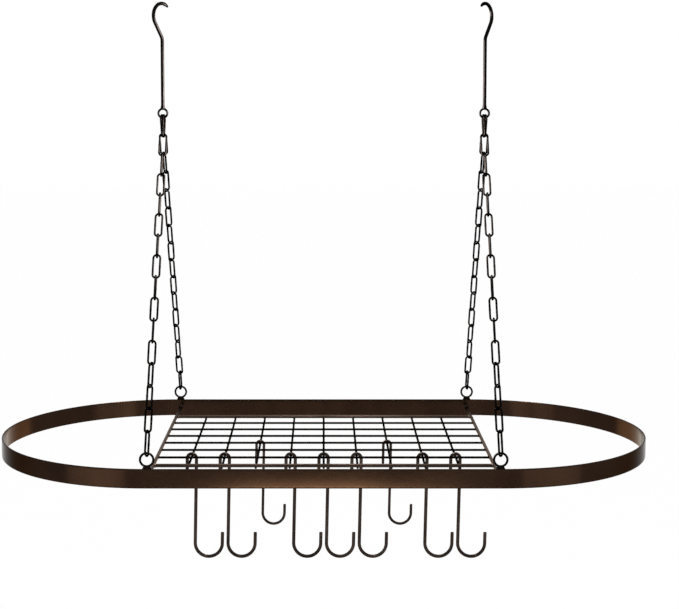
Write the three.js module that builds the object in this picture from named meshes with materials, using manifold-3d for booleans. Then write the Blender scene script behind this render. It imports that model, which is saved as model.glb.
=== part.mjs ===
// Oval hanging pot rack: a flat-bar hoop with a welded wire grid, held by four chains from two
// ceiling hooks, with nine loose pot hooks on the grid.
// Millimetres, +Z up, +X along the hoop's long side, +Y to the back. The origin lies halfway
// between the two points where the ceiling hooks bear on what carries them.

import * as THREE from "three";
import { mergeVertices } from "three/addons/utils/BufferGeometryUtils.js";
import Module from "manifold-3d";

const wasm = await Module();
wasm.setup();

// ---- driving dimensions ----

const SEAT = 0.3; // gap between two pieces that touch on the real object
const LINK_SEAT = 0.4; // the same between loose chain links, which also turn in each other
const EYE_SEAT = 0.5; // the same where two links hang in one ceiling hook's eye
const SWING_SEAT = 0.7; // the same below those links and at the eyelets, where it swings sideways
const WELD = 0.2; // how deep two links joined in one run sink into each other

const hoopStraight = 421; // length of each straight side
const hoopEndLength = 208.45; // outside, from a straight side's end to the tip of the curved end
const hoopDepth = 436.9; // outside, front to back
const hoopHeight = 23.2; // the flat bar stands on edge
const hoopWall = 2.05;

const suspensionSpacing = 416; // between the left and right eyelets, crossbars and ceiling hooks
const frameRod = 4.5; // diameter of the crossbars and of the grid's front and back rods
const gridDepth = 298.8; // between the axes of the grid's front and back rods
const gridDrop = 11.8; // from the hoop's top edge down to the frame rods' axes
const gridWire = 2.9;
const rungCount = 9; // wires that run front to back
const longWireCount = 6; // wires that run left to right, on top of the rungs
const rungEndBay = 42; // from the last rung to the crossbar beside it
const longWireEndBay = 44; // from the last long wire to the front or back rod beside it

const eyeletOuter = 18.5;
const eyeletWire = 2.8;
const eyeletFootWidth = 10.6;
const eyeletFootTopWidth = 7.2;
const eyeletFootHeight = 3.6; // from the hoop's top edge
const eyeletFootEdge = 0.9; // thickness of the foot at its two ends
const eyeletRootDepth = 0.3; // how deep the ring's axis dips into the foot's top

const linkWire = 2.6;
const linkInnerLength = 28.26;
const linkInnerWidth = 5.9;
const linkCount = 16; // in each of the four chains
const linksPerRun = 3; // links joined in one solid, below the single first link
const firstLinkSpread = 3.4; // between the two first links that hang in one ceiling hook's eye
const firstLinkTwist = 10; // degrees that each of them is turned out of edge-on
const frontWinding = 70; // degrees that a front chain is wound up in all
const frontWindingStart = 9.5; // the link from which it is wound up, down to the last
const backTopWinding = 45; // degrees that a back chain is wound up at its top
const backTopWindingStart = 1.6; // the link from which it is
const backTopWindingEnd = 4; // the last link of that
const backWinding = 33; // degrees that it is wound up again below
const backWindingStart = 12.5; // the link from which it is

const ceilingHookWire = 4.6;
const ceilingHookDrop = 146.5; // from the axis of the arc's top to the axis of the eye's lowest point
const ceilingHookRadius = 16; // of the arc's axis
const ceilingHookTip = 42; // degrees that the arc runs on past its top
const ceilingHookBack = 34; // degrees that the back of the arc leans before it meets the shank
const ceilingHookBend = 10; // radius where the back meets the shank
const ceilingHookTurn = 53; // degrees between the arc's plane and the eye's plane
const ceilingHookPoint = 0.55; // share of the wire's thickness that is left at the tip
const ceilingEyeOuter = 14.3;
const ceilingEyeWire = 2.8;
const ceilingCollar = 6; // diameter of the collar between shank and eye
const ceilingCollarLength = 4.5;

const potHookWire = 4.2;
const potHookHeight = 135.5; // outside
const potHookArch = 5.8; // radius of the arch's axis
const potHookShortLeg = 38; // outside, from the arch's top to the short leg's end
const potHookTipRise = 33.5; // from the bowl's lowest point up to the tip's end
const potHookGap = 3.1; // between the bowl of one hook and the shank of the next rung's hook
const smallHookScale = 0.835;
const potHookLean = 1.2; // degrees that a hook hangs out of plumb, its bowl being to one side

// Each rung carries a pot hook. Its place along the rung is counted in bays from the front long wire.
const frontRow = 0.41;
const middleRow = 2.22;
const smallHookIndex = 3; // the rung, from either end, whose hook is a small one in the middle row

// ---- sizes that follow ----

const rad = THREE.MathUtils.degToRad;
const suspensionX = suspensionSpacing / 2;
const firstLinkOffset = firstLinkSpread / 2;
const ceilingEyeRadius = (ceilingEyeOuter - ceilingEyeWire) / 2;
const eyeletRadius = (eyeletOuter - eyeletWire) / 2;
const eyeletRise = eyeletFootHeight - eyeletRootDepth + eyeletRadius; // up to the ring's centre
const runCount = Math.ceil((linkCount - 1) / linksPerRun);

// The oval that lies `inset` inside the hoop's outer outline: its two half ellipses and how far
// from the hoop's middle line it runs at a place x along the hoop.
const halfStraight = hoopStraight / 2;
const ovalDepth = (inset) => hoopDepth / 2 - inset;
const ovalEnd = (inset) => hoopEndLength - inset;
const ovalY = (x, inset) => {
  const past = Math.max(Math.abs(x) - halfStraight, 0) / ovalEnd(inset);
  return ovalDepth(inset) * Math.sqrt(1 - past ** 2);
};
const eyeletY = ovalY(suspensionX, hoopWall / 2); // on the middle of the bar's thickness

// Heights of the axes. The chains' length and spread set how far the rack hangs below the hooks.
const hookTopZ = ceilingHookWire / 2;
const eyeBarZ = hookTopZ - ceilingHookDrop;

// How far the middles of two links that hang in each other lie apart.
const firstStep = linkInnerLength - SWING_SEAT;
const looseStep = linkInnerLength - LINK_SEAT;
const weldedStep = linkInnerLength + WELD;
const stepBelow = (link) => {
  if (link === 1) return firstStep;
  return (link - 1) % linksPerRun === 0 ? looseStep : weldedStep;
};
const linkMiddles = [linkInnerLength / 2 - ceilingEyeWire / 2 - EYE_SEAT];
for (let link = 1; link < linkCount; link++) {
  linkMiddles.push(linkMiddles[link - 1] + stepBelow(link));
}
const chainLength =
  linkMiddles[linkCount - 1] + linkInnerLength / 2 - eyeletWire / 2 - SWING_SEAT;

// The ring's bar is a little higher beside its lowest point, where the first links hang.
const eyeBarRise = ceilingEyeRadius - Math.sqrt(ceilingEyeRadius ** 2 - firstLinkOffset ** 2);
const chainDrop = Math.sqrt(chainLength ** 2 - eyeletY ** 2 - firstLinkOffset ** 2);
const eyeletBarZ = eyeBarZ + eyeBarRise - chainDrop;
const rimZ = eyeletBarZ - eyeletRadius - eyeletRise;
const frameZ = rimZ - gridDrop;
const rungZ = frameZ - gridWire - SEAT;
const rungPitch = (suspensionSpacing - 2 * rungEndBay) / (rungCount - 1);
const rungX = (i) => -suspensionX + rungEndBay + i * rungPitch;
const longWirePitch = (gridDepth - 2 * longWireEndBay) / (longWireCount - 1);
const longWireY = (i) => -gridDepth / 2 + longWireEndBay + i * longWirePitch;

// ---- materials ----

const paint = (color, roughness, metalness) =>
  new THREE.MeshStandardMaterial({ color, roughness, metalness });
const bronzePaint = () => paint(0x4a3226, 0.45, 0.55);
const wirePaint = () => paint(0x1d1817, 0.5, 0.5);
const framePaint = () => paint(0x5b4a41, 0.42, 0.6);
const chainPaint = () => paint(0x211c1b, 0.48, 0.6);
const potHookPaint = () => paint(0x342923, 0.45, 0.55);

// ---- making wires ----

const FRAME_SIDES = 12; // of a frame rod's section
const SIDES = 8; // of a bent wire's section
const RING_SIDES = 6; // of the links' and rings' thinner wire
const SAME_POINT = 0.02; // two bend points closer than this are one

// The bend points of a drawn line, without those that fall on the one before.
function bendPoints(path, arcSteps, closed = false) {
  const points = [];
  for (const p of path.getPoints(arcSteps)) {
    const point = new THREE.Vector3(p.x, 0, p.y);
    if (!points.length || point.distanceTo(points.at(-1)) > SAME_POINT) points.push(point);
  }
  if (closed && points[0].distanceTo(points.at(-1)) < SAME_POINT) points.pop();
  return points;
}

// A round wire along a row of points: a ring of vertices square to the line at each point, each
// ring turned as little as possible from the one before. radius may vary from point to point.
function wireAlong(points, radius, { sides = SIDES, closed = false } = {}) {
  const count = points.length;
  const radiusAt = typeof radius === "function" ? radius : () => radius;
  const positions = [];
  const faces = [];
  const start = points[1].clone().sub(points[0]).normalize();
  let normal = new THREE.Vector3(0, 1, 0);
  if (Math.abs(start.y) > 0.9) normal.set(0, 0, 1); // a wire that sets off along Y
  for (let i = 0; i < count; i++) {
    const before = points[closed ? (i - 1 + count) % count : Math.max(i - 1, 0)];
    const after = points[closed ? (i + 1) % count : Math.min(i + 1, count - 1)];
    const here = points[i];
    const tangent = new THREE.Vector3();
    if (before !== here) tangent.add(here.clone().sub(before).normalize());
    if (after !== here) tangent.add(after.clone().sub(here).normalize());
    tangent.normalize();
    normal = normal.clone().addScaledVector(tangent, -normal.dot(tangent)).normalize();
    const across = new THREE.Vector3().crossVectors(normal, tangent);
    for (let k = 0; k < sides; k++) {
      const turn = (2 * Math.PI * k) / sides;
      const spoke = across.clone().multiplyScalar(Math.cos(turn));
      spoke.addScaledVector(normal, Math.sin(turn)).multiplyScalar(radiusAt(i));
      positions.push(...here.clone().add(spoke).toArray());
    }
  }
  const ringCount = closed ? count : count - 1;
  for (let i = 0; i < ringCount; i++) {
    const a = i * sides;
    const b = ((i + 1) % count) * sides;
    for (let k = 0; k < sides; k++) {
      const next = (k + 1) % sides;
      faces.push(a + k, a + next, b + next, a + k, b + next, b + k);
    }
  }
  if (!closed) {
    const last = (count - 1) * sides;
    for (let k = 1; k < sides - 1; k++) {
      faces.push(0, k + 1, k, last, last + k, last + k + 1);
    }
  }
  const geometry = new THREE.BufferGeometry();
  geometry.setAttribute("position", new THREE.Float32BufferAttribute(positions, 3));
  geometry.setIndex(faces);
  return geometry;
}

// A closed geometry as a solid that can be joined to another.
function solid(geometry) {
  const bare = geometry.clone();
  bare.deleteAttribute("normal");
  bare.deleteAttribute("uv");
  const merged = mergeVertices(bare, 1e-4);
  return new wasm.Manifold(
    new wasm.Mesh({
      numProp: 3,
      vertProperties: new Float32Array(merged.attributes.position.array),
      triVerts: new Uint32Array(merged.index.array),
    }),
  );
}

// Several closed geometries joined into one.
function joined(...geometries) {
  const made = geometries.map(solid).reduce((all, one) => all.add(one)).getMesh();
  const geometry = new THREE.BufferGeometry();
  geometry.setAttribute("position", new THREE.BufferAttribute(made.vertProperties, 3));
  geometry.setIndex(new THREE.BufferAttribute(made.triVerts, 1));
  return geometry;
}

function named(name, geometry, material) {
  const mesh = new THREE.Mesh(geometry, material);
  mesh.name = name;
  return mesh;
}

// ---- hoop ----

const HOOP_ARC_STEPS = 12;

function drawOval(path, inset) {
  const end = ovalEnd(inset);
  const depth = ovalDepth(inset);
  path.moveTo(-halfStraight, -depth);
  path.lineTo(halfStraight, -depth);
  path.absellipse(halfStraight, 0, end, depth, -Math.PI / 2, Math.PI / 2, false);
  path.lineTo(-halfStraight, depth);
  path.absellipse(-halfStraight, 0, end, depth, Math.PI / 2, (3 * Math.PI) / 2, false);
  return path;
}

function ovalHoop() {
  const outline = drawOval(new THREE.Shape(), 0);
  outline.holes.push(drawOval(new THREE.Path(), hoopWall));
  const bar = new THREE.ExtrudeGeometry(outline, {
    depth: hoopHeight,
    bevelEnabled: false,
    curveSegments: HOOP_ARC_STEPS,
  });
  bar.translate(0, 0, rimZ - hoopHeight);
  return named("oval_hoop", bar, bronzePaint());
}

// ---- grid ----

// A straight wire with square-cut ends, through (x, y, z) and as long as it takes along one axis.
function crosswise(name, x, halfLength, z, diameter, material) {
  const ends = [new THREE.Vector3(x, -halfLength, z), new THREE.Vector3(x, halfLength, z)];
  return straightWire(name, ends, diameter, material);
}

function lengthwise(name, halfLength, y, z, diameter, material) {
  const ends = [new THREE.Vector3(-halfLength, y, z), new THREE.Vector3(halfLength, y, z)];
  return straightWire(name, ends, diameter, material);
}

function straightWire(name, ends, diameter, material) {
  const sides = diameter === frameRod ? FRAME_SIDES : SIDES;
  return named(name, wireAlong(ends, diameter / 2, { sides }), material);
}

// How far short of a frame rod's axis a wire stops that meets the rod `offset` beside its axis.
function buttLength(offset) {
  const reach = frameRod / 2 + SEAT;
  return Math.sqrt(reach ** 2 - Math.max(offset, 0) ** 2);
}

function grid() {
  const group = new THREE.Group();
  const barEnd = ovalY(suspensionX + frameRod / 2, hoopWall) - SEAT;
  group.add(crosswise("crossbar_left", -suspensionX, barEnd, frameZ, frameRod, framePaint()));
  group.add(crosswise("crossbar_right", suspensionX, barEnd, frameZ, frameRod, framePaint()));
  const lengthEnd = suspensionX - buttLength(0);
  const rodY = gridDepth / 2;
  group.add(lengthwise("grid_rod_front", lengthEnd, -rodY, frameZ, frameRod, framePaint()));
  group.add(lengthwise("grid_rod_back", lengthEnd, rodY, frameZ, frameRod, framePaint()));
  for (let i = 0; i < longWireCount; i++) {
    const name = `long_wire_${i + 1}`;
    group.add(lengthwise(name, lengthEnd, longWireY(i), frameZ, gridWire, wirePaint()));
  }
  const rungEnd = rodY - buttLength(frameZ - rungZ - gridWire / 2);
  for (let i = 0; i < rungCount; i++) {
    group.add(crosswise(`rung_${i + 1}`, rungX(i), rungEnd, rungZ, gridWire, wirePaint()));
  }
  return group;
}

// ---- eyelets on the hoop's top edge ----

const RING_ARC_STEPS = 6;

function ringGeometry(radius, wire) {
  const circle = new THREE.Path().absarc(0, 0, radius, 0, 2 * Math.PI, false);
  const points = bendPoints(circle, RING_ARC_STEPS, true);
  return wireAlong(points, wire / 2, { sides: RING_SIDES, closed: true });
}

function eyeletGeometry() {
  const ring = ringGeometry(eyeletRadius, eyeletWire);
  ring.translate(0, 0, eyeletRise);
  const halfWidth = eyeletFootWidth / 2;
  const neck = eyeletFootTopWidth / 2;
  const edge = SEAT + eyeletFootEdge;
  const profile = new THREE.Shape([
    new THREE.Vector2(-halfWidth, SEAT),
    new THREE.Vector2(halfWidth, SEAT),
    new THREE.Vector2(halfWidth, edge),
    new THREE.Vector2(neck, eyeletFootHeight),
    new THREE.Vector2(-neck, eyeletFootHeight),
    new THREE.Vector2(-halfWidth, edge),
  ]);
  const foot = new THREE.ExtrudeGeometry(profile, { depth: eyeletWire, bevelEnabled: false });
  foot.translate(0, 0, -eyeletWire / 2);
  foot.rotateX(Math.PI / 2);
  return joined(ring, foot);
}

function eyelets() {
  const group = new THREE.Group();
  for (const [side, x] of [["left", -suspensionX], ["right", suspensionX]]) {
    for (const [end, y] of [["front", -eyeletY], ["back", eyeletY]]) {
      const eyelet = named(`eyelet_${end}_${side}`, eyeletGeometry(), chainPaint());
      eyelet.position.set(x, y, rimZ);
      group.add(eyelet);
    }
  }
  return group;
}

// ---- ceiling hooks ----

const ARC_STEPS = 4;

// The bent top, in its own plane: the tip, over the arc, down its leaning back and into the shank.
function ceilingHookAxis() {
  const lean = rad(ceilingHookBack);
  const radius = ceilingHookRadius;
  const path = new THREE.Path();
  path.absarc(0, -radius, radius, Math.PI / 2 - rad(ceilingHookTip), Math.PI + lean, false);
  // The back leaves the arc at a slant and meets the shank's line in a bend of its own.
  const leave = new THREE.Vector2(-radius * Math.cos(lean), -radius - radius * Math.sin(lean));
  const reach = -leave.x / Math.sin(lean);
  const cornerZ = leave.y - reach * Math.cos(lean);
  const trim = ceilingHookBend * Math.tan(lean / 2);
  const bendZ = cornerZ - trim;
  path.absarc(-ceilingHookBend, bendZ, ceilingHookBend, lean, 0, true);
  path.lineTo(0, -ceilingHookDrop + 2 * ceilingEyeRadius);
  const turn = rad(ceilingHookTurn);
  return bendPoints(path, ARC_STEPS).map((p) => p.applyAxisAngle(new THREE.Vector3(0, 0, 1), turn));
}

function ceilingHookGeometry() {
  const axis = ceilingHookAxis();
  const tipSteps = 2; // the tip is drawn to a blunt point over this many steps
  const thickness = (i) => Math.min(1, ceilingHookPoint + ((1 - ceilingHookPoint) * i) / tipSteps);
  const shank = wireAlong(axis, (i) => (ceilingHookWire / 2) * thickness(i));
  const eye = ringGeometry(ceilingEyeRadius, ceilingEyeWire);
  eye.translate(0, 0, -ceilingHookDrop + ceilingEyeRadius);
  const wire = ceilingHookWire / 2;
  const collar = new THREE.CylinderGeometry(wire, ceilingCollar / 2, ceilingCollarLength, SIDES);
  collar.rotateX(Math.PI / 2);
  const eyeTopZ = -ceilingHookDrop + 2 * ceilingEyeRadius;
  collar.translate(0, 0, eyeTopZ - ceilingEyeWire / 4 + ceilingCollarLength / 2);
  return joined(shank, collar, eye);
}

function ceilingHooks() {
  const group = new THREE.Group();
  for (const [side, x] of [["left", -suspensionX], ["right", suspensionX]]) {
    const hook = named(`ceiling_hook_${side}`, ceilingHookGeometry(), chainPaint());
    hook.position.set(x, 0, hookTopZ);
    if (side === "right") hook.rotation.z = Math.PI; // both hooks open towards the middle
    group.add(hook);
  }
  return group;
}

// ---- chains ----

const LINK_ARC_STEPS = 2;

// One oval link round its own middle, standing in the XZ plane.
function linkGeometry() {
  const radius = (linkInnerWidth + linkWire) / 2;
  const straight = (linkInnerLength + linkWire) / 2 - radius;
  const path = new THREE.Path();
  path.absarc(0, straight, radius, 0, Math.PI, false);
  path.absarc(0, -straight, radius, Math.PI, 2 * Math.PI, false);
  path.lineTo(radius, straight);
  return wireAlong(bendPoints(path, LINK_ARC_STEPS, true), linkWire / 2, {
    sides: RING_SIDES,
    closed: true,
  });
}

// How far each chain is turned about its own line, link by link, in degrees. Every second link
// stands edge-on; by its lower end a chain of an even number of links is wound up by nearly a
// quarter turn, so that its last link passes through its eyelet.
const { smoothstep } = THREE.MathUtils;
const firstTurn = (link) => (link === 1 ? -firstLinkTwist : 0);
const WINDING = {
  front: (link) => firstTurn(link) + frontWinding * smoothstep(link, frontWindingStart, linkCount),
  back: (link) => {
    const top = backTopWinding * smoothstep(link, backTopWindingStart, backTopWindingEnd);
    return firstTurn(link) + top + backWinding * smoothstep(link, backWindingStart, linkCount);
  },
};

function linkInChain(link, end, handed) {
  const placed = linkGeometry();
  const edgeOn = link % 2 === 1 ? 90 : 0;
  placed.rotateZ(rad(edgeOn + handed * WINDING[end](link)));
  placed.translate(0, 0, -linkMiddles[link - 1]);
  return placed;
}

function twoDigits(number) {
  return String(number).padStart(2, "0");
}

function chain(side, x, end, y) {
  const group = new THREE.Group();
  // The two chains of a side share the ceiling hook's eye, the back one on the outside of it.
  const topX = x + Math.sign(x) * (end === "back" ? firstLinkOffset : -firstLinkOffset);
  const top = new THREE.Vector3(topX, 0, eyeBarZ + eyeBarRise);
  const foot = new THREE.Vector3(x, y, eyeletBarZ);
  const up = top.clone().sub(foot).normalize();
  const across = new THREE.Vector3(1, 0, 0).addScaledVector(up, -up.x).normalize();
  const along = new THREE.Vector3().crossVectors(up, across);
  group.setRotationFromMatrix(new THREE.Matrix4().makeBasis(across, along, up));
  group.position.copy(top);
  const label = `chain_${end}_${side}`;
  const handed = -Math.sign(x); // the left and right chains are wound opposite ways
  group.add(named(`${label}_link_01`, linkInChain(1, end, handed), chainPaint()));
  for (let run = 0; run < runCount; run++) {
    const first = 2 + run * linksPerRun;
    const last = Math.min(first + linksPerRun - 1, linkCount);
    const links = [];
    for (let link = first; link <= last; link++) links.push(linkInChain(link, end, handed));
    const name = `${label}_links_${twoDigits(first)}_${twoDigits(last)}`;
    group.add(named(name, joined(...links), chainPaint()));
  }
  return group;
}

function chains() {
  const group = new THREE.Group();
  for (const [side, x] of [["left", -suspensionX], ["right", suspensionX]]) {
    for (const [end, y] of [["front", -eyeletY], ["back", eyeletY]]) {
      group.add(chain(side, x, end, y));
    }
  }
  return group;
}

// ---- pot hooks ----

const POT_HOOK_ARC_STEPS = 4;

// A pot hook round the axis of its rung, drawn in the XZ plane: the short leg, the arch over the
// rung, the long shank and the open bowl with its upright tip.
function potHookGeometry(scale) {
  const wireRadius = (potHookWire * scale) / 2;
  const arch = potHookArch * scale;
  const bowl = ((rungPitch - potHookGap) * scale) / 2 - wireRadius;
  const archZ = gridWire / 2 + SEAT + wireRadius - arch;
  const topZ = archZ + arch + wireRadius;
  const bottomZ = topZ - potHookHeight * scale;
  const bowlZ = bottomZ + wireRadius + bowl;
  const path = new THREE.Path();
  path.moveTo(-arch, topZ - potHookShortLeg * scale);
  path.lineTo(-arch, archZ);
  path.absarc(0, archZ, arch, Math.PI, 0, true);
  path.lineTo(arch, bowlZ);
  path.absarc(arch + bowl, bowlZ, bowl, Math.PI, 2 * Math.PI, false);
  path.lineTo(arch + 2 * bowl, bottomZ + potHookTipRise * scale);
  return wireAlong(bendPoints(path, POT_HOOK_ARC_STEPS), wireRadius);
}

function potHooks() {
  const group = new THREE.Group();
  for (let i = 0; i < rungCount; i++) {
    const small = Math.min(i + 1, rungCount - i) === smallHookIndex;
    const bay = small ? middleRow : frontRow;
    const geometry = potHookGeometry(small ? smallHookScale : 1);
    const hook = named(`pot_hook_${i + 1}`, geometry, potHookPaint());
    hook.position.set(rungX(i), longWireY(0) + bay * longWirePitch, rungZ);
    hook.rotation.y = rad(potHookLean);
    group.add(hook);
  }
  return group;
}

const rack = new THREE.Group();
rack.add(ovalHoop(), grid(), eyelets(), ceilingHooks(), chains(), potHooks());

export default rack;
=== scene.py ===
"""The looks of an oval hanging pot rack: a flat-bar hoop with a welded wire grid, four link chains
on two ceiling hooks, and loose pot hooks over the grid's rungs. Metres, +Z up, +Y to the back.

The CAD model's faceted wires are replaced, each in its own place, by round ones with their cut
ends, welds and finish. Sizes are written in millimetres and turned into metres by MM.
"""

import math
import random

import bmesh
import bpy
from mathutils import Matrix, Vector

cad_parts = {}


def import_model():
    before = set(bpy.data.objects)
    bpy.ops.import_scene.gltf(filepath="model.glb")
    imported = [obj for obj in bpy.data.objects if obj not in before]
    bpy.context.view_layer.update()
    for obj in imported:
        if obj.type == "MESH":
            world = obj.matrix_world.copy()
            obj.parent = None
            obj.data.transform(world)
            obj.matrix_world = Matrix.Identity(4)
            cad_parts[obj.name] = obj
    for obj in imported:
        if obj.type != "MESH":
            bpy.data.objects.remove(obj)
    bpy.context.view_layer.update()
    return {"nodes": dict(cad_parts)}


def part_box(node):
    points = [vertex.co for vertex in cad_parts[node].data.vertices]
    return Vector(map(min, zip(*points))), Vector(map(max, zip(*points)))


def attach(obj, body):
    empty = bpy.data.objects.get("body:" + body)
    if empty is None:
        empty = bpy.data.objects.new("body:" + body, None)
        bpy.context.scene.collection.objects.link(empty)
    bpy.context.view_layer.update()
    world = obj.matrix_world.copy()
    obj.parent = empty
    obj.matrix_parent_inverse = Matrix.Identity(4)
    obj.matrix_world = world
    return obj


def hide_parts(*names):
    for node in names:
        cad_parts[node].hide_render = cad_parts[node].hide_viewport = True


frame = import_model()

MM = 0.001
RAD = math.pi / 180
SEED = 7

# ---- sizes as the CAD model has them, in millimetres, and angles in degrees ----

# Gaps: under a pot hook's arch, between runs of links, in the ceiling hook's eye, and below a
# first link, where the chain turns. Links of one run meet by LINK_WELD.
SEAT = 0.3
LINK_SEAT = 0.4
EYE_SEAT = 0.5
SWING_SEAT = 0.7
LINK_WELD = 0.2

HOOP_STRAIGHT = 421
HOOP_WALL = 2.05
HOOP_EDGE = 0.4  # rounding of the flat bar's edges
HOOP_CROWN = 0.12  # how much the outer face falls back towards those edges

SUSPENSION_X = 208
FRAME_ROD = 4.5
GRID_WIRE = 2.9

EYELET_OUTER = 18.5
EYELET_WIRE = 2.8
EYELET_FOOT_WIDTH = 10.6
EYELET_FOOT_TOP = 7.2
EYELET_FOOT_HEIGHT = 3.6
EYELET_FOOT_EDGE = 0.9
EYELET_FOOT_LIFT = 0.02
EYELET_FOOT_SHOULDER = 0.8  # less than 1 rounds the slopes outward
EYELET_FOOT_THIN = 0.75  # how thick the foot's ends are, as a share of its middle
EYELET_FOOT_SQUARE = 0.7  # less than 1 makes its round section squarer
EYELET_ROOT_DEPTH = 0.3

LINK_WIRE = 2.6
LINK_INNER_LENGTH = 28.26
LINK_INNER_WIDTH = 5.9
LINK_COUNT = 16
LINKS_PER_RUN = 3
LINK_SEAM_RISE = 0.14
LINK_SEAM_WIDTH = 1.1
FIRST_LINK_SPREAD = 3.4
FIRST_LINK_TWIST = 10  # degrees
# How many degrees a chain winds about its line, and the links between which it does.
FRONT_WINDING = 70
FRONT_WINDING_START = 9.5
BACK_TOP_WINDING = 45
BACK_TOP_WINDING_START = 1.6
BACK_TOP_WINDING_END = 4
BACK_WINDING = 33
BACK_WINDING_START = 12.5

HOOK_WIRE = 4.6
HOOK_DROP = 146.5
HOOK_RADIUS = 16
HOOK_TIP = 42  # degrees from the arc's top to its tip
HOOK_BACK = 34  # degrees that the arc goes on past its widest place
HOOK_BEND = 10
HOOK_TURN = 53  # degrees that the open side is turned about the shank
HOOK_POINT = 0.55  # how thick the tip is, as a share of the wire
HOOK_TAPER = 7  # how far the wire thins towards that tip
EYE_OUTER = 14.3
EYE_WIRE = 2.8
COLLAR = 6
COLLAR_LENGTH = 4.5
COLLAR_CURVE = 0.6  # less than 1 makes the collar widen at once and then level off

POT_WIRE = 4.2
POT_HEIGHT = 135.5
POT_ARCH = 5.8
POT_SHORT_LEG = 38
POT_TIP_RISE = 33.5
POT_GAP = 3.1
POT_LEAN = 1.2  # degrees
SMALL_SCALE = 0.835
SMALL_BELOW = 0.95  # a pot hook less than this share of the full height is a small one

CUT = 0.3  # chamfer of a wire's cut end

# How many sides a round piece has.
WIRE_SIDES = 16
ROD_SIDES = 28
RING_SIDES = 14
LINK_SIDES = 12
HOOK_SIDES = 20

# Weld beads' half sizes along x, y and z, and how far the welds round a rod's end reach along
# the rod and out from it.
CROSSING_WELD = (1.5, 1.5, 0.9)
RUNG_END_WELD = (1.6, 1.0, 1.15)
WIRE_END_WELD = (0.9, 1.75, 1.65)
RAIL_WELD = (2.4, 1.2)
ROD_WELD = (2.2, 0.7)
BEAD_LUMPS = 0.12  # how uneven a bead and the weld round a rod are, as a share of their radius
FLARE_LUMPS = 0.10
RUNG_WELD_OUT = 0.1  # how far past a rung's end, and how far above its middle, its bead is
RUNG_WELD_UP = 0.75
RAIL_WELD_GAP = 0.02
ROD_WELD_SINK = 0.5  # how far a rod's weld starts inside the crossbar


def nodes_called(start):
    return sorted(n for n in frame["nodes"] if n.startswith(start))


def middle(node):
    low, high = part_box(node)
    return (low + high) / 2 / MM


RUNGS = nodes_called("rung_")
LONG_WIRES = nodes_called("long_wire_")


# Where the CAD model has things, in millimetres.
hoop_low, hoop_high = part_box("oval_hoop")
RIM_Z = hoop_high.z / MM
BASE_Z = hoop_low.z / MM
HOOP_HALF_LENGTH = hoop_high.x / MM
HOOP_HALF_DEPTH = hoop_high.y / MM
FRAME_Z = middle("crossbar_left").z
RUNG_Z = middle("rung_1").z
RUNG_PITCH = middle("rung_2").x - middle("rung_1").x
RAIL_Y = HOOP_HALF_DEPTH - HOOP_WALL / 2
RAIL_INNER_Y = HOOP_HALF_DEPTH - HOOP_WALL
HOOK_TOP_Z = HOOK_WIRE / 2

eyelet_radius = (EYELET_OUTER - EYELET_WIRE) / 2
eyelet_rise = EYELET_FOOT_HEIGHT - EYELET_ROOT_DEPTH + eyelet_radius
eye_radius = (EYE_OUTER - EYE_WIRE) / 2
first_link_offset = FIRST_LINK_SPREAD / 2
eye_bar_z = HOOK_TOP_Z - HOOK_DROP
eye_bar_z += eye_radius - math.sqrt(eye_radius**2 - first_link_offset**2)
eyelet_bar_z = RIM_Z + eyelet_rise + eyelet_radius


# ---- materials ----


class Shader:
    """A material and short ways to add nodes to it."""

    def __init__(self, name):
        self.material = bpy.data.materials.new(name)
        self.material.use_nodes = True
        self.tree = self.material.node_tree
        self.bsdf = self.tree.nodes["Principled BSDF"]
        self.place = self.tree.nodes.new("ShaderNodeTexCoord").outputs["Object"]

    def link(self, a, b):
        self.tree.links.new(a, b)

    def stretched(self, scale):
        node = self.tree.nodes.new("ShaderNodeMapping")
        node.inputs["Scale"].default_value = scale
        self.link(self.place, node.inputs["Vector"])
        return node.outputs["Vector"]

    def noise(self, scale, offset, vector=None, detail=2.0, rough=0.5):
        node = self.tree.nodes.new("ShaderNodeTexNoise")
        node.noise_dimensions = "4D"
        node.inputs["W"].default_value = offset
        node.inputs["Scale"].default_value = scale
        node.inputs["Detail"].default_value = detail
        node.inputs["Roughness"].default_value = rough
        self.link(vector if vector is not None else self.place, node.inputs["Vector"])
        return node.outputs["Fac"]

    def ramp(self, fac, stops):
        node = self.tree.nodes.new("ShaderNodeValToRGB")
        elements = node.color_ramp.elements
        while len(elements) < len(stops):
            elements.new(0.5)
        for element, (position, color) in zip(elements, stops):
            element.position = position
            element.color = (*color, 1)
        self.link(fac, node.inputs["Fac"])
        return node.outputs["Color"]

    def span(self, fac, low, high):
        """A noise, which keeps mostly between 0.3 and 0.7, spread from low to high."""
        node = self.tree.nodes.new("ShaderNodeMapRange")
        node.inputs["From Min"].default_value = 0.3
        node.inputs["From Max"].default_value = 0.7
        node.inputs["To Min"].default_value = low
        node.inputs["To Max"].default_value = high
        self.link(fac, node.inputs["Value"])
        return node.outputs["Result"]

    def bump(self, height, strength, distance, normal=None):
        node = self.tree.nodes.new("ShaderNodeBump")
        node.inputs["Strength"].default_value = strength
        node.inputs["Distance"].default_value = distance
        self.link(height, node.inputs["Height"])
        if normal is not None:
            self.link(normal, node.inputs["Normal"])
        return node.outputs["Normal"]


# Repeats per metre of the coat's drift in colour, its flecks, its unevenness and its spray grain.
DRIFT = 9.0
FLECK = 300.0
WAVE = 90.0
SPRAY = 900.0
FLECK_SHARE = 0.2  # how much the flecks add to the drift
WAVE_HEIGHT = 0.0003  # metres
SPRAY_HEIGHT = 0.00003
COAT_STOPS = (0.42, 0.60, 0.82)  # where the dark, middle and light colours come
SMOOTHER = 0.02  # how far roughness goes below and above its value
ROUGHER = 0.03


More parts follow.
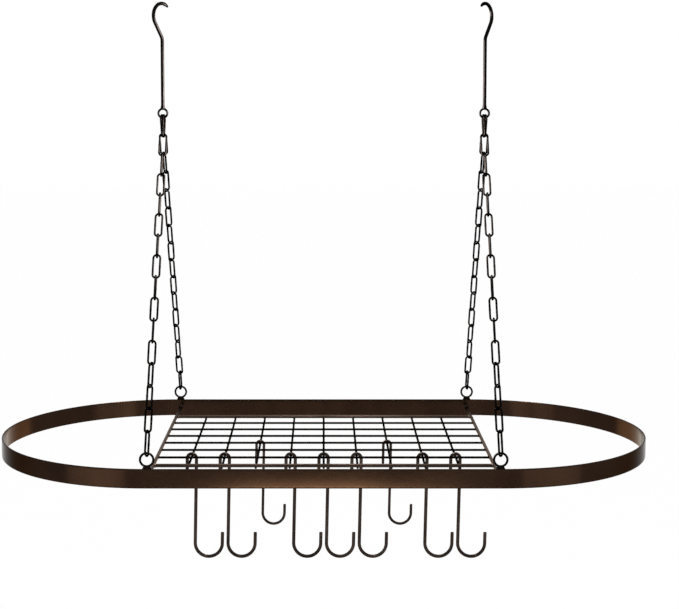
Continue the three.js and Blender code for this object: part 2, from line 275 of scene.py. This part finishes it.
def metal(name, dark, mid, light, rough, edge, bump, patina=DRIFT, streak=None):
    """A coated dark metal: the coat's colour drifts over hand-sized patches and thins in fine
    flecks, its gloss varies with them, and its surface is slightly uneven from spraying. edge is
    its tint at a grazing angle, and streak stretches the flecks."""
    s = Shader(name)
    drift = s.noise(patina, SEED)
    vector = s.stretched(streak) if streak else None
    fleck = s.noise(FLECK, SEED + 1, vector, detail=3.0, rough=0.55)
    both = s.tree.nodes.new("ShaderNodeMath")
    both.operation = "MULTIPLY_ADD"
    both.inputs[1].default_value = FLECK_SHARE
    s.link(fleck, both.inputs[0])
    s.link(drift, both.inputs[2])
    color = s.ramp(both.outputs[0], list(zip(COAT_STOPS, (dark, mid, light))))
    s.link(color, s.bsdf.inputs["Base Color"])
    s.link(s.span(fleck, rough - SMOOTHER, rough + ROUGHER), s.bsdf.inputs["Roughness"])
    s.bsdf.inputs["Metallic"].default_value = 1.0
    s.bsdf.inputs["Specular Tint"].default_value = (*edge, 1)
    spray = s.noise(SPRAY, SEED + 2)
    wave = s.noise(WAVE, SEED + 3)
    normal = s.bump(wave, bump, WAVE_HEIGHT)
    normal = s.bump(spray, bump, SPRAY_HEIGHT, normal)
    s.link(normal, s.bsdf.inputs["Normal"])
    return s.material


MATERIALS = {
    "bronze_hoop": metal(
        "hoop_bronze",
        dark=(0.019, 0.0105, 0.0068),
        mid=(0.0252, 0.0137, 0.0086),
        light=(0.034, 0.019, 0.012),
        rough=0.15,
        edge=(0.50, 0.488, 0.482),
        bump=0.02,
        streak=(0.35, 0.35, 1.6),
    ),
    "frame_rods": metal(
        "rod_bronze",
        dark=(0.028, 0.020, 0.016),
        mid=(0.038, 0.027, 0.022),
        light=(0.056, 0.041, 0.033),
        rough=0.30,
        edge=(0.64, 0.575, 0.535),
        bump=0.03,
    ),
    "grid_wires": metal(
        "wire_brown_black",
        dark=(0.0020, 0.0014, 0.0012),
        mid=(0.0032, 0.0022, 0.0018),
        light=(0.006, 0.0042, 0.0035),
        rough=0.36,
        edge=(0.0, 0.0, 0.0),
        bump=0.03,
    ),
    "chain": metal(
        "chain_black",
        dark=(0.003, 0.0025, 0.0023),
        mid=(0.0045, 0.0038, 0.0035),
        light=(0.008, 0.0065, 0.006),
        rough=0.22,
        edge=(0.05, 0.05, 0.05),
        bump=0.0,
        patina=30.0,
    ),
    "pot_hooks": metal(
        "pot_hook_bronze",
        dark=(0.016, 0.0115, 0.0094),
        mid=(0.025, 0.0183, 0.0150),
        light=(0.042, 0.031, 0.0255),
        rough=0.28,
        edge=(0.0, 0.0, 0.0),
        bump=0.02,
        patina=22.0,
    ),
}


# ---- pieces ----


def finish_piece(name, mesh, slot, body, replaced=(), sharp=40):
    mesh.validate()
    mesh.shade_smooth()
    mesh.set_sharp_from_angle(angle=sharp * RAD)
    piece = bpy.data.objects.new(name, mesh)
    bpy.context.scene.collection.objects.link(piece)
    mesh.materials.append(MATERIALS[slot])
    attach(piece, body)
    if replaced:
        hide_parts(*replaced)


def mesh_of(name, vertices, faces):
    """A mesh from points in millimetres, with its faces pointing out."""
    mesh = bpy.data.meshes.new(name)
    mesh.from_pydata([tuple(Vector(v) * MM) for v in vertices], [], faces)
    mesh.update()
    work = bmesh.new()
    work.from_mesh(mesh)
    bmesh.ops.recalc_face_normals(work, faces=work.faces)
    work.to_mesh(mesh)
    work.free()
    return mesh


SAME = 0.01  # points nearer than this are one


class Drawn:
    """A line in a plane (u, w), drawn by straight stretches and arcs."""

    def __init__(self, u, w):
        self.points = [Vector((u, w))]

    def line(self, u, w, steps=1):
        start = self.points[-1].copy()
        end = Vector((u, w))
        for i in range(1, steps + 1):
            self._add(start.lerp(end, i / steps))
        return self

    def arc(self, u, w, radius, start, end, step=9):
        """From one angle to another, in degrees."""
        count = max(2, math.ceil(abs(end - start) / step))
        for i in range(count + 1):
            angle = (start + (end - start) * i / count) * RAD
            self._add(Vector((u + radius * math.cos(angle), w + radius * math.sin(angle))))
        return self

    def _add(self, point):
        if (point - self.points[-1]).length > SAME:
            self.points.append(point)

    def closed(self):
        if (self.points[0] - self.points[-1]).length < SAME:
            self.points.pop()
        return self.points


def tube_faces(rings, sides, closed=False):
    """The faces of a tube whose vertices come ring by ring, with flat ends unless it is closed."""
    faces = []
    for i in range(rings if closed else rings - 1):
        a = i * sides
        b = (i + 1) % rings * sides
        for k in range(sides):
            nxt = (k + 1) % sides
            faces.append((a + k, a + nxt, b + nxt, b + k))
    if not closed:
        faces.append(tuple(reversed(range(sides))))
        faces.append(tuple(range((rings - 1) * sides, rings * sides)))
    return faces


def sweep(points, radius, place, sides, closed=False):
    """Vertices and faces of a round wire along a flat line. radius is a number, or a function of
    the way along the line; place turns (u, w) and the way out of the plane into the row frame."""
    count = len(points)
    way = [0.0]
    for a, b in zip(points, points[1:]):
        way.append(way[-1] + (b - a).length)
    # A ring's centre, the point whose direction it takes, and how much less than the wire's its
    # radius is.
    rings = [(points[i], i, 0) for i in range(count)]
    if not closed:
        # A cut end: a smaller ring at the very end, the full one just inside it.
        last = count - 1
        inward = (points[1] - points[0]).normalized() * CUT
        rings[:1] = [(points[0], 0, CUT), (points[0] + inward, 0, 0)]
        inward = (points[last - 1] - points[last]).normalized() * CUT
        rings[-1:] = [(points[last] + inward, last, 0), (points[last], last, CUT)]
    vertices = []
    for at, i, less in rings:
        before = points[(i - 1) % count] if closed or i > 0 else points[i]
        after = points[(i + 1) % count] if closed or i < count - 1 else points[i]
        tangent = Vector((0.0, 0.0))
        if (points[i] - before).length > 0:
            tangent += (points[i] - before).normalized()
        if (after - points[i]).length > 0:
            tangent += (after - points[i]).normalized()
        tangent.normalize()
        side = Vector((-tangent.y, tangent.x))
        r = (radius(way[i], way[-1]) if callable(radius) else radius) - less
        for k in range(sides):
            turn = 2 * math.pi * k / sides
            flat = at + side * (r * math.cos(turn))
            vertices.append(place(flat.x, flat.y, r * math.sin(turn)))
    return vertices, tube_faces(len(rings), sides, closed)


def together(*parts):
    """Several lots of vertices and faces as one."""
    vertices, faces = [], []
    for more_vertices, more_faces in parts:
        shift = len(vertices)
        vertices += more_vertices
        faces += [tuple(i + shift for i in face) for face in more_faces]
    return vertices, faces


# ---- hoop ----

# Stations along a straight side and round an end, and rows of the bar's section.
SIDE_STEPS = 8
END_STEPS = 72
CORNER_STEPS = 4
CROWN_ROWS = 10
INNER_ROWS = (0.04, 0.5, 0.96)
TOP_ROWS = (0.08, 0.5, 0.92)


def oval(inset, t):
    """The point at t on the oval that lies `inset` inside the outer outline, for t from 0 to 4:
    the front side, the right end, the back side and the left end."""
    half = HOOP_STRAIGHT / 2
    end = HOOP_HALF_LENGTH - half - inset
    depth = HOOP_HALF_DEPTH - inset
    part = int(t) % 4
    share = t - int(t)
    if part == 0:
        return Vector((-half + HOOP_STRAIGHT * share, -depth))
    if part == 2:
        return Vector((half - HOOP_STRAIGHT * share, depth))
    angle = (-90 + 180 * share) * RAD if part == 1 else (90 + 180 * share) * RAD
    across = half if part == 1 else -half
    return Vector((across + end * math.cos(angle), depth * math.sin(angle)))


def hoop_section():
    """The flat bar's outline: how far in from the outer face, and how high."""
    section = []
    outer_u = HOOP_CROWN + HOOP_EDGE
    inner_u = HOOP_WALL - HOOP_EDGE
    top, base = RIM_Z - HOOP_EDGE, BASE_Z + HOOP_EDGE
    corners = ((outer_u, top, 90), (outer_u, base, 180), (inner_u, base, 270), (inner_u, top, 0))
    for u, z, start in corners:
        for i in range(CORNER_STEPS + 1):
            angle = (start + 90 / CORNER_STEPS * i) * RAD
            section.append((u + HOOP_EDGE * math.cos(angle), z + HOOP_EDGE * math.sin(angle)))
        if start == 90:
            for i in range(1, CROWN_ROWS):
                share = i / CROWN_ROWS
                crown = HOOP_CROWN * (2 * share - 1) ** 2
                section.append((crown, top + (base - top) * share))
        if start == 270:
            for share in INNER_ROWS:
                section.append((HOOP_WALL, base + (top - base) * share))
        if start == 0:
            for share in TOP_ROWS:
                section.append((inner_u + (outer_u - inner_u) * share, RIM_Z))
    return section


def hoop():
    stations = []
    for part, steps in enumerate((SIDE_STEPS, END_STEPS, SIDE_STEPS, END_STEPS)):
        stations += [part + i / steps for i in range(steps)]
    section = hoop_section()
    vertices = []
    for t in stations:
        outer, inner = oval(0, t), oval(HOOP_WALL, t)
        for u, z in section:
            at = outer.lerp(inner, u / HOOP_WALL)
            vertices.append((at.x, at.y, z))
    faces = tube_faces(len(stations), len(section), closed=True)
    mesh = mesh_of("hoop_bar", vertices, faces)
    finish_piece("hoop_bar", mesh, "bronze_hoop", "rack", ["oval_hoop"], sharp=50)


# ---- grid ----


def straight(node, slot, sides):
    """The round wire in place of a straight CAD one, along whichever way that is longest."""
    low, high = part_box(node)
    low, high = low / MM, high / MM
    at = (low + high) / 2
    size = high - low
    radius = min(size) / 2
    if size.x > size.y:
        place = lambda u, w, v: (u, at.y + w, at.z + v)
        ends = (low.x, high.x)
    else:
        place = lambda u, w, v: (at.x + w, u, at.z + v)
        ends = (low.y, high.y)
    points = Drawn(ends[0], 0).line(ends[1], 0, steps=6).points
    mesh = mesh_of(node, *sweep(points, radius, place, sides))
    finish_piece(f"{node}_round", mesh, slot, "rack", [node])


def grid():
    for node in RUNGS + LONG_WIRES:
        straight(node, "grid_wires", WIRE_SIDES)
    for node in ("crossbar_left", "crossbar_right", "grid_rod_front", "grid_rod_back"):
        straight(node, "frame_rods", ROD_SIDES)


def blob(at, radii, rng):
    """A small lump of weld."""
    work = bmesh.new()
    bmesh.ops.create_icosphere(work, subdivisions=2, radius=1)
    turn = Matrix.Rotation(rng.uniform(0, math.pi), 3, "Z")
    vertices = []
    for v in work.verts:
        p = turn @ v.co
        swell = 1 + BEAD_LUMPS * math.sin(5 * p.x + 3 * p.y + rng.uniform(0, 0.4))
        vertices.append(tuple(at[i] + p[i] * radii[i] * swell for i in range(3)))
    faces = [tuple(v.index for v in f.verts) for f in work.faces]
    work.free()
    return vertices, faces


def flare(at, axis, weld, rng):
    """A weld round a frame rod's end: it spreads from the rod's own radius to its foot at `at`."""
    sides, steps = 24, 5
    radius = FRAME_ROD / 2
    length, foot = weld[0], radius + weld[1]
    core = radius * 0.9  # just inside the rod, where the lumps start from
    along = Vector(axis).normalized()
    up = Vector((0, 0, 1))
    across = along.cross(up).normalized()
    ripple = [1 + FLARE_LUMPS * math.sin(4 * k + rng.uniform(-0.5, 0.5)) for k in range(sides)]
    vertices = []
    for i in range(steps + 1):
        share = i / steps
        r = radius + (foot - radius) * (1 - share) ** 2
        for k in range(sides):
            angle = 2 * math.pi * k / sides
            rippled = core + (r - core) * ripple[k]
            p = Vector(at) + along * (length * share)
            p += (across * math.cos(angle) + up * math.sin(angle)) * rippled
            vertices.append(tuple(p))
    return vertices, tube_faces(steps + 1, sides)


def welds():
    rng = random.Random(SEED)
    contact_z = (FRAME_Z + RUNG_Z) / 2
    wires, rods = [], []
    for rung in RUNGS:
        x = middle(rung).x
        for wire in LONG_WIRES:
            wires.append(blob((x, middle(wire).y, contact_z), CROSSING_WELD, rng))
        for way in (-1, 1):
            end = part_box(rung)[1].y / MM
            at = (x, way * (end + RUNG_WELD_OUT), RUNG_Z + RUNG_WELD_UP)
            wires.append(blob(at, RUNG_END_WELD, rng))
    for wire in LONG_WIRES:
        for way in (-1, 1):
            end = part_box(wire)[1].x / MM
            wires.append(blob((way * end, middle(wire).y, FRAME_Z), WIRE_END_WELD, rng))
    rod_y = middle("grid_rod_back").y
    rod_end_x = SUSPENSION_X - FRAME_ROD / 2 + ROD_WELD_SINK
    for side in (-1, 1):
        for way in (-1, 1):
            at = (side * SUSPENSION_X, way * (RAIL_INNER_Y - RAIL_WELD_GAP), FRAME_Z)
            rods.append(flare(at, (0, -way, 0), RAIL_WELD, rng))
            at = (side * rod_end_x, way * rod_y, FRAME_Z)
            rods.append(flare(at, (-side, 0, 0), ROD_WELD, rng))
    mesh = mesh_of("wire_welds", *together(*wires))
    finish_piece("wire_welds", mesh, "grid_wires", "rack")
    mesh = mesh_of("rod_welds", *together(*rods))
    finish_piece("rod_welds", mesh, "frame_rods", "rack")


# ---- eyelets ----


def ring_points(radius, w):
    return Drawn(radius, w).arc(0, w, radius, 0, 360, step=7.5).closed()


def squared(number):
    """A sine or cosine that makes a circle a little squarer."""
    return math.copysign(abs(number) ** EYELET_FOOT_SQUARE, number)


def eyelet(node):
    at = middle(node)
    place = lambda u, w, v: (at.x + u, at.y + v, RIM_Z + w)
    circle = ring_points(eyelet_radius, eyelet_rise)
    ring = sweep(circle, EYELET_WIRE / 2, place, RING_SIDES, closed=True)
    # The foot: a low mound along the rim, as thick as the ring's wire.
    rows, around = 12, 16
    vertices = []
    half, top = EYELET_FOOT_WIDTH / 2, EYELET_FOOT_TOP / 2
    rise = EYELET_FOOT_HEIGHT - EYELET_FOOT_EDGE
    for i in range(rows + 1):
        u = -half + 2 * half * i / rows
        slope = min(1.0, (half - abs(u)) / (half - top))
        height = EYELET_FOOT_EDGE + rise * slope**EYELET_FOOT_SHOULDER
        thick = EYELET_WIRE / 2 * (EYELET_FOOT_THIN + (1 - EYELET_FOOT_THIN) * slope)
        for k in range(around):
            angle = 2 * math.pi * k / around
            v = thick * squared(math.cos(angle))
            w = height / 2 * (1 + squared(math.sin(angle)))
            vertices.append(place(u, w + EYELET_FOOT_LIFT, v))
    foot = (vertices, tube_faces(rows + 1, around))
    mesh = mesh_of(node, *together(ring, foot))
    finish_piece(f"{node}_ring", mesh, "chain", "rack", [node], sharp=60)


# ---- ceiling hooks ----


def ceiling_hook(side):
    node = f"ceiling_hook_{side}"
    sign = -1 if side == "left" else 1
    # The arc leaves its circle at (leave_u, leave_w), leaning, and a bend turns it upright.
    lean = HOOK_BACK
    leave_u = -HOOK_RADIUS * math.cos(lean * RAD)
    leave_w = -HOOK_RADIUS - HOOK_RADIUS * math.sin(lean * RAD)
    corner = leave_w - (-leave_u / math.sin(lean * RAD)) * math.cos(lean * RAD)
    bend_w = corner - HOOK_BEND * math.tan(lean * RAD / 2)
    eye_top = -HOOK_DROP + 2 * eye_radius
    tip = 90 - HOOK_TIP
    tip_w = -HOOK_RADIUS + HOOK_RADIUS * math.sin(tip * RAD)
    line = Drawn(HOOK_RADIUS * math.cos(tip * RAD), tip_w)
    line.arc(0, -HOOK_RADIUS, HOOK_RADIUS, tip, 180 + lean, step=5)
    line.arc(-HOOK_BEND, bend_w, HOOK_BEND, lean, 0, step=6)
    line.line(0, eye_top + COLLAR_LENGTH, steps=6)
    line.line(0, eye_top, steps=8)

    def thickness(along, whole):
        r = HOOK_WIRE / 2
        if along < HOOK_TAPER:
            r *= HOOK_POINT + (1 - HOOK_POINT) * math.sin(along / HOOK_TAPER * math.pi / 2)
        left = whole - along
        if left < COLLAR_LENGTH:
            r += (COLLAR - HOOK_WIRE) / 2 * (1 - left / COLLAR_LENGTH) ** COLLAR_CURVE
        return r

    turn = (HOOK_TURN + (180 if sign > 0 else 0)) * RAD
    cos, sin = math.cos(turn), math.sin(turn)
    x = sign * SUSPENSION_X
    place = lambda u, w, v: (x + u * cos - v * sin, u * sin + v * cos, HOOK_TOP_Z + w)
    shank = sweep(line.points, thickness, place, HOOK_SIDES)
    flat = lambda u, w, v: (x + u, v, HOOK_TOP_Z + w)
    circle = ring_points(eye_radius, -HOOK_DROP + eye_radius)
    eye = sweep(circle, EYE_WIRE / 2, flat, RING_SIDES, closed=True)
    mesh = mesh_of(node, *together(shank, eye))
    finish_piece(f"{node}_bent", mesh, "chain", "ceiling_hooks", [node], sharp=50)


# ---- chains ----


def smoothstep(x, low, high):
    x = min(max((x - low) / (high - low), 0), 1)
    return x * x * (3 - 2 * x)


def winding(link, end):
    """How far a link is turned about its chain's line, in degrees."""
    first = -FIRST_LINK_TWIST if link == 1 else 0
    if end == "front":
        return first + FRONT_WINDING * smoothstep(link, FRONT_WINDING_START, LINK_COUNT)
    top = BACK_TOP_WINDING * smoothstep(link, BACK_TOP_WINDING_START, BACK_TOP_WINDING_END)
    return first + top + BACK_WINDING * smoothstep(link, BACK_WINDING_START, LINK_COUNT)


def link_middles():
    middles = [LINK_INNER_LENGTH / 2 - EYE_WIRE / 2 - EYE_SEAT]
    for link in range(1, LINK_COUNT):
        loose = (link - 1) % LINKS_PER_RUN == 0
        play = SWING_SEAT if link == 1 else LINK_SEAT if loose else -LINK_WELD
        middles.append(middles[-1] + LINK_INNER_LENGTH - play)
    return middles


def link_wire(place):
    radius = (LINK_INNER_WIDTH + LINK_WIRE) / 2
    half = (LINK_INNER_LENGTH + LINK_WIRE) / 2 - radius
    line = Drawn(radius, -half)
    line.line(radius, half, steps=8)
    line.arc(0, half, radius, 0, 180, step=15)
    line.line(-radius, -half, steps=4)
    line.arc(0, -half, radius, 180, 360, step=15)
    seam = half  # the butt weld is in the middle of the first side

    def thickness(along, whole):
        return LINK_WIRE / 2 + LINK_SEAM_RISE * math.exp(-(((along - seam) / LINK_SEAM_WIDTH) ** 2))

    return sweep(line.closed(), thickness, place, LINK_SIDES, closed=True)


def chain(side, end):
    sign = -1 if side == "left" else 1
    way = -1 if end == "front" else 1
    top = Vector((sign * (SUSPENSION_X + way * first_link_offset), 0, eye_bar_z))
    foot = Vector((sign * SUSPENSION_X, way * RAIL_Y, eyelet_bar_z))
    up = (top - foot).normalized()
    across = (Vector((1, 0, 0)) - up * up.x).normalized()
    along = up.cross(across)
    for i, below in enumerate(link_middles()):
        link = i + 1
        turn = (90 if link % 2 else 0) - sign * winding(link, end)
        cos, sin = math.cos(turn * RAD), math.sin(turn * RAD)
        flip = -1 if (link // 2) % 2 else 1

        def place(u, w, v):
            a = flip * u * cos - v * sin
            b = flip * u * sin + v * cos
            return tuple(top + across * a + along * b + up * (w - below))

        name = f"chain_{end}_{side}_{link:02d}"
        mesh = mesh_of(name, *link_wire(place))
        if link == 1:
            finish_piece(name, mesh, "chain", f"top_links_{side}", [f"chain_{end}_{side}_link_01"])
            continue
        first = 2 + (link - 2) // LINKS_PER_RUN * LINKS_PER_RUN
        run = f"chain_{end}_{side}_links_{first:02d}_{first + LINKS_PER_RUN - 1:02d}"
        finish_piece(name, mesh, "chain", f"chains_{side}", [run])


# ---- pot hooks ----


def pot_hook(node):
    low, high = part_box(node)
    small = (high - low).z / MM < POT_HEIGHT * SMALL_BELOW
    scale = SMALL_SCALE if small else 1
    rung = f"rung_{node.split('_')[-1]}"
    at = Vector((middle(rung).x, middle(node).y, RUNG_Z))
    radius = POT_WIRE * scale / 2
    arch = POT_ARCH * scale
    bowl = (RUNG_PITCH - POT_GAP) * scale / 2 - radius
    arch_w = GRID_WIRE / 2 + SEAT + radius - arch
    top_w = arch_w + arch + radius
    bottom_w = top_w - POT_HEIGHT * scale
    bowl_w = bottom_w + radius + bowl
    line = Drawn(-arch, top_w - POT_SHORT_LEG * scale)
    line.line(-arch, arch_w, steps=3)
    line.arc(0, arch_w, arch, 180, 0, step=9)
    line.line(arch, bowl_w, steps=8)
    line.arc(arch + bowl, bowl_w, bowl, 180, 360, step=6)
    line.line(arch + 2 * bowl, bottom_w + POT_TIP_RISE * scale, steps=2)
    cos, sin = math.cos(POT_LEAN * RAD), math.sin(POT_LEAN * RAD)
    place = lambda u, w, v: (at.x + u * cos + w * sin, at.y + v, at.z - u * sin + w * cos)
    mesh = mesh_of(node, *sweep(line.points, radius, place, HOOK_SIDES))
    finish_piece(f"{node}_wire", mesh, "pot_hooks", node, [node])


hoop()
grid()
welds()
for eyelet_node in nodes_called("eyelet_"):
    eyelet(eyelet_node)
for hook_side in ("left", "right"):
    ceiling_hook(hook_side)
    for chain_end in ("front", "back"):
        chain(hook_side, chain_end)
for hook_node in nodes_called("pot_hook_"):
    pot_hook(hook_node)


# ---- studio ----

# Metres and watts from here on.
FLOOR_Z = -1.75
FLOOR_HALF = 30.0
FLOOR_COLOR = (0.86, 0.86, 0.86, 1)
LIT_SHARE = 0.12  # how much of the floor that the camera sees is the lit surface, with its shadow
FLOOR_GLOW = 1.06  # brings the floor up to the backdrop's white
WORLD_SEEN = 1.0
WORLD_LIGHT = 0.55

WARMER = (1.0, 0.9, 0.72)
WARM = (1.0, 0.9, 0.75)
PALE = (1.0, 0.92, 0.85)
WHITE = (1.0, 1.0, 1.0)

FRONT_RAIL = Vector((0, -0.2185, -0.566))  # its middle
LOW_FRONT_ANGLE = 17.2  # below the level of the rail, in degrees
LOW_FRONT_DISTANCE = 3.2
LOW_FRONT_SIZE = (0.6, 0.36)
LOW_FRONT_ENERGY = 0.046
LOW_FRONT_SPREAD = 10
ABOVE_RAIL = 0.13  # how far above the rail its beam is aimed
SIDE_ANGLE = 50  # from the front, in degrees
SIDE_DISTANCE = 1.6
SIDE_DROP = 0.373
SIDE_HEIGHT = 0.43
# Widths and energies of panels that stand one on the other, so that their edges fade.
SIDE_PANELS = ((1.22, 1.8), (0.80, 4.6), (0.43, 6.6))
# Between the ceiling hooks, one way and the other.
SHANK_AT = Vector((0, -0.05, -0.12))
SHANK_SIZE = (0.16, 0.21)
SHANK_ENERGY = 14


def seen_directly(tree):
    """1 for what the camera sees, directly or in a gloss, and 0 for light on the object."""
    path = tree.nodes.new("ShaderNodeLightPath")
    total = None
    for name in ("Is Camera Ray", "Is Glossy Ray", "Is Transmission Ray"):
        if total is None:
            total = path.outputs[name]
            continue
        more = tree.nodes.new("ShaderNodeMath")
        more.operation = "MAXIMUM"
        tree.links.new(total, more.inputs[0])
        tree.links.new(path.outputs[name], more.inputs[1])
        total = more.outputs[0]
    return total


def floor():
    mesh = bpy.data.meshes.new("floor")
    half = FLOOR_HALF
    corners = [(-half, -half), (half, -half), (half, half), (-half, half)]
    mesh.from_pydata([(x, y, FLOOR_Z) for x, y in corners], [], [(0, 1, 2, 3)])
    piece = bpy.data.objects.new("floor", mesh)
    bpy.context.scene.collection.objects.link(piece)
    material = bpy.data.materials.new("pale_floor")
    material.use_nodes = True
    tree = material.node_tree
    lit = tree.nodes["Principled BSDF"]
    lit.inputs["Base Color"].default_value = FLOOR_COLOR
    lit.inputs["Roughness"].default_value = 0.9
    glow = tree.nodes.new("ShaderNodeEmission")
    glow.inputs["Color"].default_value = (1, 1, 1, 1)
    glow.inputs["Strength"].default_value = FLOOR_GLOW
    share = tree.nodes.new("ShaderNodeMath")
    share.operation = "MULTIPLY"
    share.inputs[1].default_value = 1 - LIT_SHARE
    tree.links.new(seen_directly(tree), share.inputs[0])
    mix = tree.nodes.new("ShaderNodeMixShader")
    tree.links.new(share.outputs[0], mix.inputs["Fac"])
    tree.links.new(lit.outputs[0], mix.inputs[1])
    tree.links.new(glow.outputs[0], mix.inputs[2])
    tree.links.new(mix.outputs[0], tree.nodes["Material Output"].inputs["Surface"])
    mesh.materials.append(material)


def world():
    sky = bpy.data.worlds.new("studio")
    sky.use_nodes = True
    bpy.context.scene.world = sky
    tree = sky.node_tree
    background = tree.nodes["Background"]
    background.inputs["Color"].default_value = (1, 1, 1, 1)
    level = tree.nodes.new("ShaderNodeMapRange")
    level.inputs["To Min"].default_value = WORLD_LIGHT
    level.inputs["To Max"].default_value = WORLD_SEEN
    tree.links.new(seen_directly(tree), level.inputs["Value"])
    tree.links.new(level.outputs["Result"], background.inputs["Strength"])


def softbox(name, at, aim, size, energy, color=WHITE, spread=180):
    light = bpy.data.lights.new(name, "AREA")
    light.shape = "RECTANGLE"
    light.size, light.size_y = size
    light.energy = energy
    light.color = color
    light.spread = spread * RAD
    lamp = bpy.data.objects.new(name, light)
    bpy.context.scene.collection.objects.link(lamp)
    lamp.location = at
    lamp.rotation_mode = "QUATERNION"
    lamp.rotation_quaternion = (Vector(aim) - Vector(at)).to_track_quat("-Z", "Y")


def studio():
    floor()
    world()
    # Low in front, where the front rail's lower edge mirrors it. Its narrow beam is aimed above the
    # rail, so that the back rail, which sees it from lower down, stays dark.
    angle = LOW_FRONT_ANGLE * RAD
    low = Vector((0, -math.cos(angle), -math.sin(angle))) * LOW_FRONT_DISTANCE
    aim = FRONT_RAIL + Vector((0, 0, ABOVE_RAIL))
    at = FRONT_RAIL + low
    softbox("low_front", at, aim, LOW_FRONT_SIZE, LOW_FRONT_ENERGY, WARMER, LOW_FRONT_SPREAD)
    # Behind and between, for the inner faces of the hoop's two ends.
    softbox("behind", (0, 0.62, -0.73), (0, 0, -0.6), (0.62, 0.16), 0.75, WARM)
    for side in (-1, 1):
        # To each side, mirrored by the rails where they begin to bend.
        turn = side * SIDE_ANGLE * RAD
        away = Vector((SIDE_DISTANCE * math.sin(turn), -SIDE_DISTANCE * math.cos(turn), -SIDE_DROP))
        at = FRONT_RAIL + away
        for width, energy in SIDE_PANELS:
            softbox(f"side_{side}_{width}", at, FRONT_RAIL, (width, SIDE_HEIGHT), energy, PALE)
        # A panel between the ceiling hooks lights the inner side of each shank.
        aim = SHANK_AT + Vector((side, 0, 0))
        softbox(f"shank_{side}", SHANK_AT, aim, SHANK_SIZE, SHANK_ENERGY)
    softbox("top", (0, 0.6, 1.8), (0, 0, -0.5), (1.6, 1.0), 20)


# The camera stands in front, a little above the hoop, tilted down at it. Its frame is shifted as
# the photograph's is: the picture is 679 by 609 and the optical axis meets it at AXIS_AT.
PICTURE = (679, 609)
AXIS_AT = (323.7, 236.5)
FOCAL = 1542.9  # in pixels of that picture
CAMERA_BACK = 2.0017  # metres, from the object's middle
CAMERA_ABOVE_RIM = 0.4235
CAMERA_TILT = 4.78  # down, in degrees


def camera():
    data = bpy.data.cameras.new("camera")
    data.sensor_width = 36
    data.lens = FOCAL / PICTURE[0] * data.sensor_width
    data.shift_x = (PICTURE[0] / 2 - AXIS_AT[0]) / PICTURE[0]
    data.shift_y = (AXIS_AT[1] - PICTURE[1] / 2) / PICTURE[0]
    eye = bpy.data.objects.new("camera", data)
    bpy.context.scene.collection.objects.link(eye)
    eye.location = (0, -CAMERA_BACK, RIM_Z * MM + CAMERA_ABOVE_RIM)
    eye.rotation_euler = ((90 - CAMERA_TILT) * RAD, 0, 0)
    bpy.context.scene.camera = eye


studio()
camera()
bpy.context.scene.view_settings.view_transform = "Standard"
